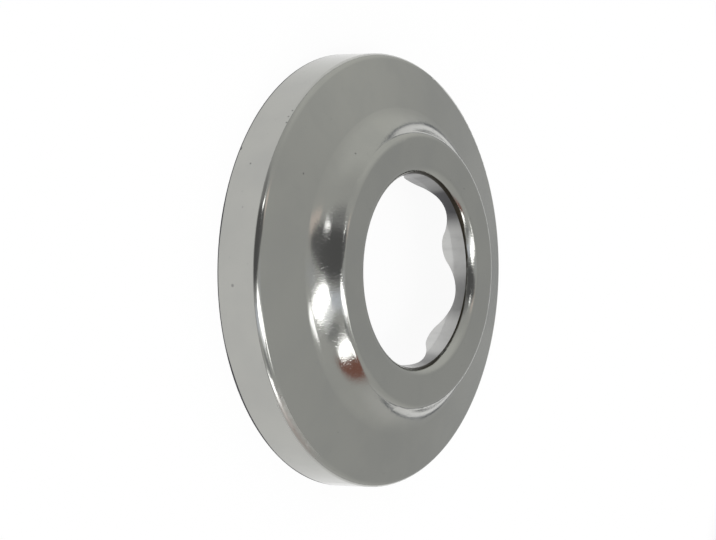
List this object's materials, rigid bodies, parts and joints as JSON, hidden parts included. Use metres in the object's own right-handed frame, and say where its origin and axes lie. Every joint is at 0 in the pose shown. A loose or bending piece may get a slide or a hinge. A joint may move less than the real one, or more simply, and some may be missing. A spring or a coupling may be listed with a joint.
{
  "type": "pipe rosette",
  "caption": "Round pressed metal cover ring with a raised neck and an inward-turned, lobed grip flange; it slides along a pipe and hides the hole where the pipe meets the wall.",
  "frame": {"origin": "centre of the rim that meets the wall, on the wall's plane", "axes": "+Z along the pipe, away from the wall; +X points at one of the grip lobes"},
  "size_m": [0.062, 0.062, 0.0117],
  "materials": {
    "bright_sheet": "bright plating over drawn sheet, slightly satin from handling"
  },
  "bodies": {
    "root": {"rosette": "bright_sheet"}
  },
  "joints": []
}
